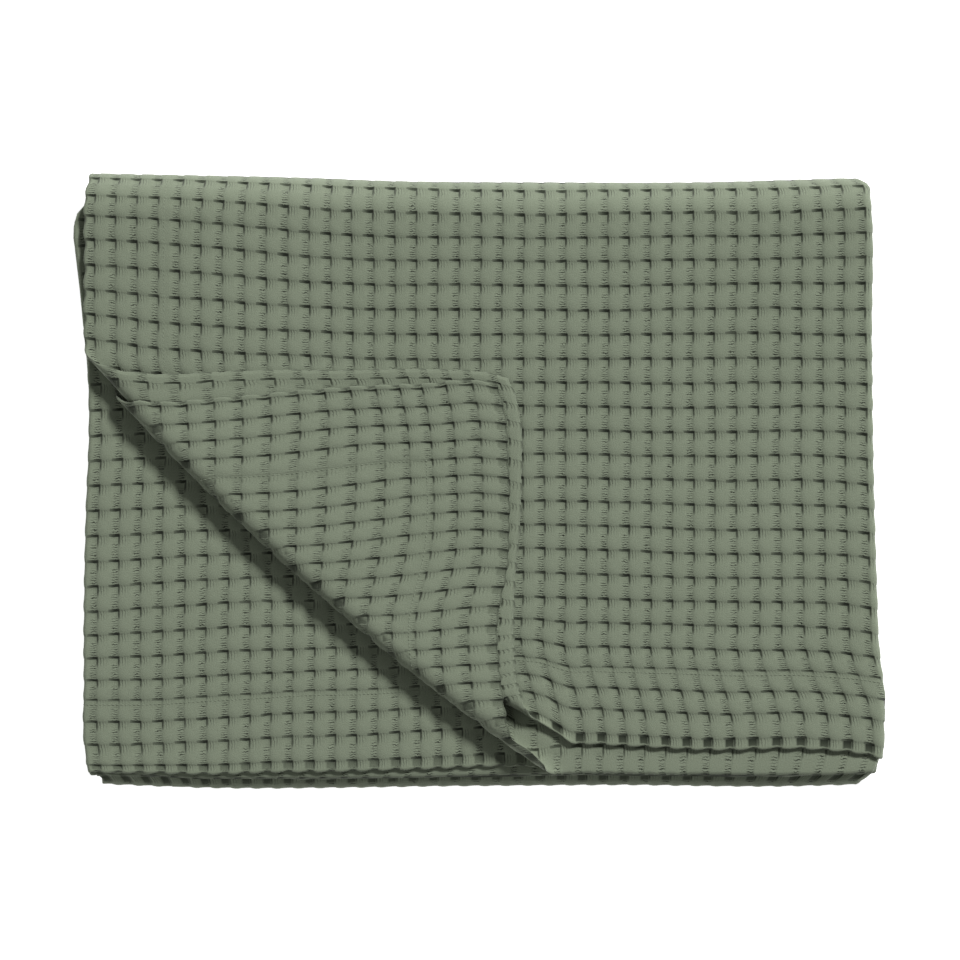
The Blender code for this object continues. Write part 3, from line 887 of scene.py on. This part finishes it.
def waffle_cotton():
    """Sage cotton: ribs of yarn over and beside each pit, smooth squares, painted shade at the
    pits' walls, in pits, along hem edges and between ribs, and painted highlights on the ribs.
    """
    material, surface = new_finish("waffle_cotton", COTTON_FINISH)
    tree = material.node_tree
    weave, hems, sag = (
        Value(tree, None).made("ShaderNodeUVMap", {"uv_map": name})
        for name in ("weave", "hems", "sag")
    )
    right, up, _ = weave.parts()
    to_side, to_front, _ = hems.parts()
    # The first number is the share of painted shade in the pit, the second marks stitches
    sunk, marked, _ = sag.parts()
    to_hem = to_side.lower(to_front)
    thread = marked.rise(THREAD_MARK * 0.6, THREAD_MARK * 0.9)
    flow, fuzz, cloudy, uneven, twist = yarn_grain(weave)
    wander = (flow - 0.5) * 0.12
    twist = (twist - 0.5) * 9.0
    u = (right + wander * 0.5 + WHOLE_CELLS).fraction()
    v = (up + wander + WHOLE_CELLS).fraction()
    pit, over, beside, square = cell_squares(u, v)

    # Ribs of yarn over and beside the pit, painted shade in the gaps between them, and painted
    # highlights on their crowns
    bow = (v - PIT / 2) * (v - PIT / 2) * 0.5
    ribs_over = (up + wander * 0.4) * (2 * math.pi * RIBS_OVER) + twist
    ribs_beside = (right + bow + wander * 0.4) * (2 * math.pi * RIBS_BESIDE) + twist * 0.5
    between_over = ribs_over.sine().rise(0.0, 0.9)
    between_beside = ribs_beside.sine().rise(0.1, 0.9)
    over_pit = over * u.rise(0.05, 0.20) * (1.0 - u.rise(PIT - 0.10, PIT))
    beside_pit = beside * u.rise(PIT + 0.03, PIT + 0.08) * (1.0 - u.rise(0.86, 0.94))
    # The painted shade between ribs is darkest near the pit
    near_over = (1.0 - v.rise(PIT + 0.15, PIT + 0.50)) * 0.6 + 0.3
    near_beside = (1.0 - u.rise(PIT + 0.05, 1.0)) * 0.4 + 0.08
    painted_rib_shade = over_pit * between_over * near_over
    painted_rib_shade = painted_rib_shade.upper(beside_pit * between_beside * near_beside)
    # Painted highlights on the ribs' crowns
    glint = over_pit * (1.0 - between_over) + beside_pit * (1.0 - between_beside) * 0.7

    # Painted shade: at the pits' upper and right walls, in shaded pits, along the hems' edges, and
    # between ribs, but none on the seam
    along_pit = (pit + over).upper(pit + beside)
    gap = painted_pit_wall_shade(u, v, uneven).upper(painted_pit_shade(u, v) * sunk)
    # Painted shade along the hems' edges, strongest beside the pits
    gap = gap.upper((1.0 - to_hem.rise(*EDGE_SHADE)) * (along_pit * 0.50 + 0.15))
    off_seam = 1.0 - to_hem.hump(HEM_DEPTH, HEM_SEAM_WIDTH * SEAM_SPREAD) * SEAM_FLATTENS
    painted_shade = gap.upper(painted_rib_shade * 1.7 * (fuzz * 2.2 - 0.5)) * off_seam

    # Fine relief and tone. In the tone the pits are painted darker as shade, and the ribs' crowns
    # get painted highlights
    fine = (right * THREADS[0]).sine() * (up * THREADS[1]).sine() * (square + pit) * 0.10
    height = fuzz * 0.5 - painted_shade + fine + square * 0.3
    tone = (cloudy - 0.5) * 0.5 + (fuzz - 0.5) * 2.3 + 0.50 + square * 0.22 - pit * 0.12
    tone = tone + fine + glint * 0.35 + thread * 0.7
    sage = tone.made(
        "ShaderNodeMix", {"data_type": "RGBA", "clamp_factor": True},
        {0: tone, 6: SAGE_DEEP, 7: SAGE_LIGHT}, output=2,
    )
    shaded = sage.made(
        "ShaderNodeMix", {"data_type": "RGBA"}, {0: painted_shade, 6: sage, 7: SAGE_SHADE}, output=2
    )
    bump = height.made(
        "ShaderNodeBump", (),
        {"Height": height, "Distance": BUMP_DISTANCE, "Strength": BUMP_STRENGTH},
    )
    tree.links.new(shaded.socket, surface.inputs["Base Color"])
    tree.links.new(bump.socket, surface.inputs["Normal"])
    return material


# The studio
VIEW_WIDTH = 0.791  # what the picture's width shows at the cloth's top
CAMERA_HEIGHT = 3.0  # over the cloth's top
SENSOR = 36.0
WHITE = (1.0, 1.0, 1.0, 1.0)
# Lights. Columns: name, place, size, power
LIGHTS = (
    ("key", (6.20, 9.40, 7.50), 2.50, 2480.0),
    ("fill", (-1.6, -2.0, 2.2), 2.0, 14.0),
)
SKY = 0.14
FLOOR_REACH = 6.0
FLOOR_DROP = 0.0008
FLOOR_FINISH = {
    "Base Color": (0.86, 0.86, 0.86, 1.0),
    "Roughness": 0.9,
    "Emission Color": WHITE,
    "Emission Strength": 0.85,
}


def pale_floor():
    """A plain pale floor, just under the cloth."""
    grid = bmesh.new()
    bmesh.ops.create_grid(grid, x_segments=1, y_segments=1, size=FLOOR_REACH)
    data = bpy.data.meshes.new("floor")
    grid.to_mesh(data)
    grid.free()
    data.materials.append(new_finish("pale_floor", FLOOR_FINISH)[0])
    floor = linked("floor", data)
    floor.location.z = -FLOOR_DROP


def studio():
    """The floor, a soft light from the upper right, a weak fill, and a camera straight above."""
    pale_floor()
    for name, place, size, power in LIGHTS:
        light = bpy.data.lights.new(name, "AREA")
        light.size = size
        light.energy = power
        lamp = linked(name, light)
        lamp.location = place
        lamp.rotation_euler = (-Vector(place)).to_track_quat("-Z", "Y").to_euler()
    world = bpy.data.worlds.new("studio")
    world.use_nodes = True
    world.node_tree.nodes["Background"].inputs["Color"].default_value = WHITE
    world.node_tree.nodes["Background"].inputs["Strength"].default_value = SKY
    bpy.context.scene.world = world
    lens = bpy.data.cameras.new("above")
    lens.sensor_width = SENSOR
    lens.lens = SENSOR * CAMERA_HEIGHT / VIEW_WIDTH
    camera = linked("above", lens)
    camera.location = (0.0, 0.0, CAMERA_HEIGHT + CAD_BOX[1][2])
    bpy.context.scene.camera = camera
    bpy.context.scene.view_settings.view_transform = "Standard"


def main():
    """Set up the studio, and lay the bedspread in it."""
    studio()
    material = waffle_cotton()
    bends, trees = cloth_bends(), (waffle_relief(), stitch_rows())
    for row in PANELS:
        cloth_panel(row, bends, trees, material)


main()
